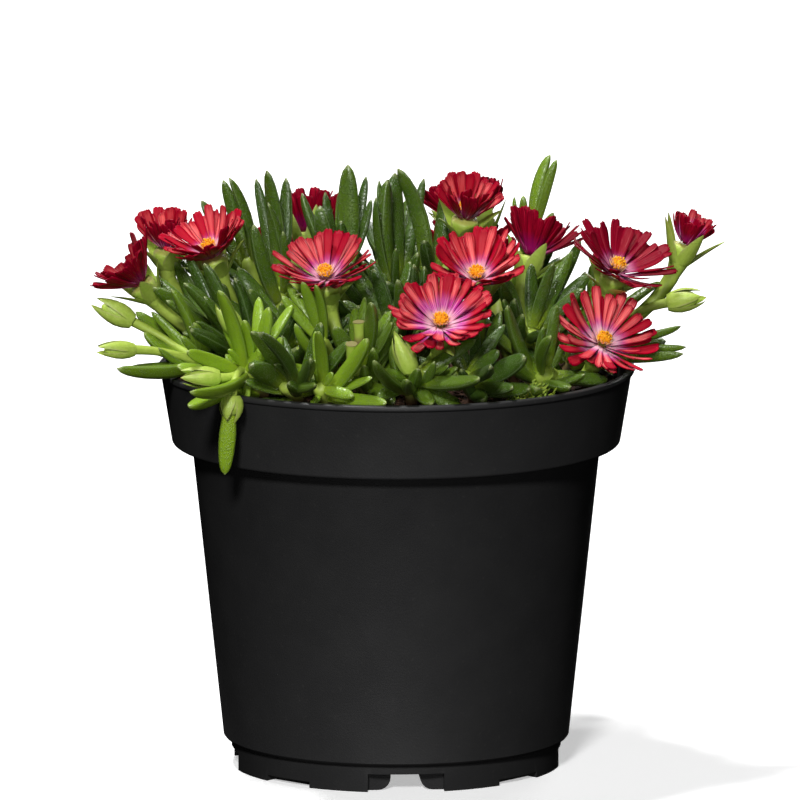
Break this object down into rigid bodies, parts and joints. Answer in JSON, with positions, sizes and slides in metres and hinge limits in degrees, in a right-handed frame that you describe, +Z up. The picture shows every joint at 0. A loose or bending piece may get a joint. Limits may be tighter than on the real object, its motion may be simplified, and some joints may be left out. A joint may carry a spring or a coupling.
{
  "type": "potted ice plant",
  "caption": "Potted ice plant: finger-leaved succulent clump with red daisy flowers, in a black plastic nursery pot filled with peat.",
  "frame": {"origin": "centre of the pot's underside, on the surface that the pot stands on", "axes": "+Z up along the pot's axis, -Y towards the viewer of the plant's front, +X to that viewer's right"},
  "size_m": [0.174, 0.1651, 0.1633],
  "materials": {
    "pot": "matte",
    "soil": "matte",
    "leaf": "satin",
    "petal": "satin",
    "pollen": "matte"
  },
  "bodies": {
    "root": {"pot": "pot", "soil": "soil", "flower_left_side_petals": "petal", "flower_left_side_stamens": "pollen", "flower_left_back_petals": "petal", "flower_left_back_stamens": "pollen", "flower_left_petals": "petal", "flower_left_stamens": "pollen", "flower_middle_left_petals": "petal", "flower_middle_left_stamens": "pollen", "flower_back_left_petals": "petal", "flower_back_left_stamens": "pollen", "flower_back_middle_petals": "petal", "flower_back_middle_stamens": "pollen", "flower_top_left_petals": "petal", "flower_top_left_stamens": "pollen", "flower_top_petals": "petal", "flower_top_stamens": "pollen", "flower_top_back_petals": "petal", "flower_top_back_stamens": "pollen", "flower_middle_right_petals": "petal", "flower_middle_right_stamens": "pollen", "flower_front_petals": "petal", "flower_front_stamens": "pollen", "flower_dark_petals": "petal", "flower_dark_stamens": "pollen", "flower_right_petals": "petal", "flower_right_stamens": "pollen", "flower_right_low_petals": "petal", "flower_right_low_stamens": "pollen", "flower_half_open_petals": "petal", "flower_half_open_stamens": "pollen", "flower_back_one_petals": "petal", "flower_back_one_stamens": "pollen", "flower_back_two_petals": "petal", "flower_back_two_stamens": "pollen", "shoot_left_rim": "leaf", "shoot_left_flank": "leaf", "shoot_left_upright": "leaf", "shoot_left_star": "leaf", "shoot_front_left": "leaf", "shoot_front_star": "leaf", "shoot_young": "leaf", "shoot_front_cut": "leaf", "shoot_front_middle": "leaf", "shoot_front_right": "leaf", "shoot_right_front": "leaf", "shoot_right_flank": "leaf", "shoot_right_middle": "leaf", "shoot_right_back": "leaf", "shoot_top_middle": "leaf", "shoot_top_right": "leaf", "shoot_top_left_middle": "leaf", "shoot_top_left": "leaf", "shoot_left_back": "leaf", "shoot_middle_left": "leaf", "shoot_middle": "leaf", "shoot_back_left": "leaf", "shoot_back": "leaf", "shoot_back_right": "leaf"}
  },
  "joints": []
}
